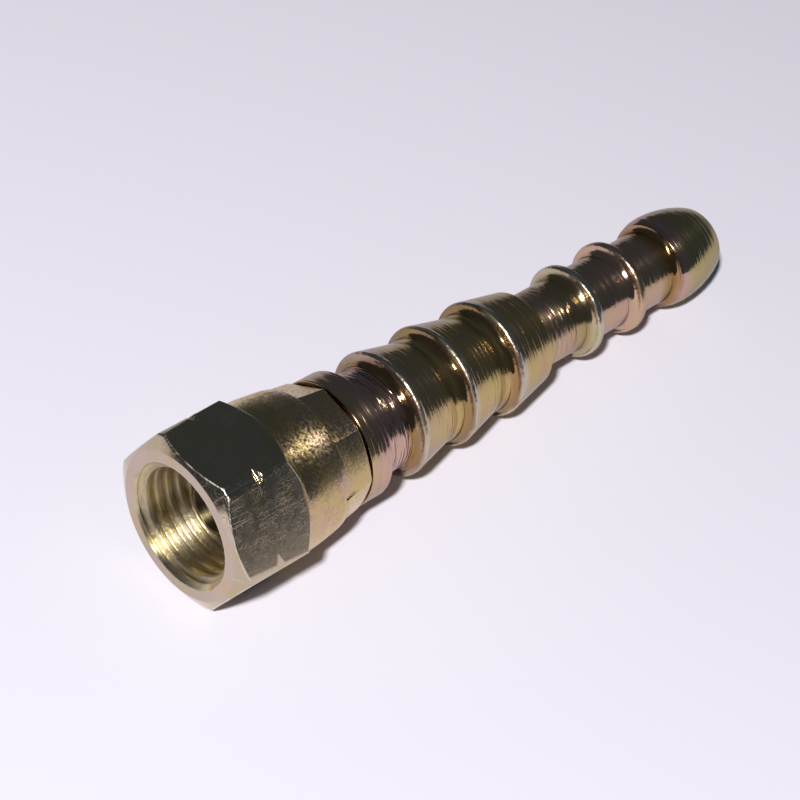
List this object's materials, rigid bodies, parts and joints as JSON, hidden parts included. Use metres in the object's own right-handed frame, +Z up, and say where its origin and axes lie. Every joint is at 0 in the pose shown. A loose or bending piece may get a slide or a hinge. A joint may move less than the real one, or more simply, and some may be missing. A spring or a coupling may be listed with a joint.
{
  "type": "gas hose adapter",
  "caption": "Left-hand union nut on a stepped, barbed hose tail, turned in passivated steel, for joining a gas hose to an appliance.",
  "frame": {"origin": "middle of the footprint, on the surface that the adapter lies on", "axes": "+Z up, +X from the nut towards the free end of the tail; the adapter's own axis leans 2.9 degrees down towards +X, because it lies on the nut's lower flat and on the bulb"},
  "size_m": [0.0782, 0.0196, 0.0175],
  "materials": {
    "nut_steel": "yellow zinc passivation",
    "tail_steel": "yellow zinc passivation"
  },
  "bodies": {
    "tail": {"hose_tail": "tail_steel"},
    "nut": {"swivel_nut": "nut_steel"}
  },
  "joints": [
    {"name": "nut_swivel", "type": "hinge", "parent": "tail", "child": "nut", "pos_m": [-0.02709, 0, 0.0084], "axis": [0.9987, 0, -0.0502], "continuous": true}
  ]
}
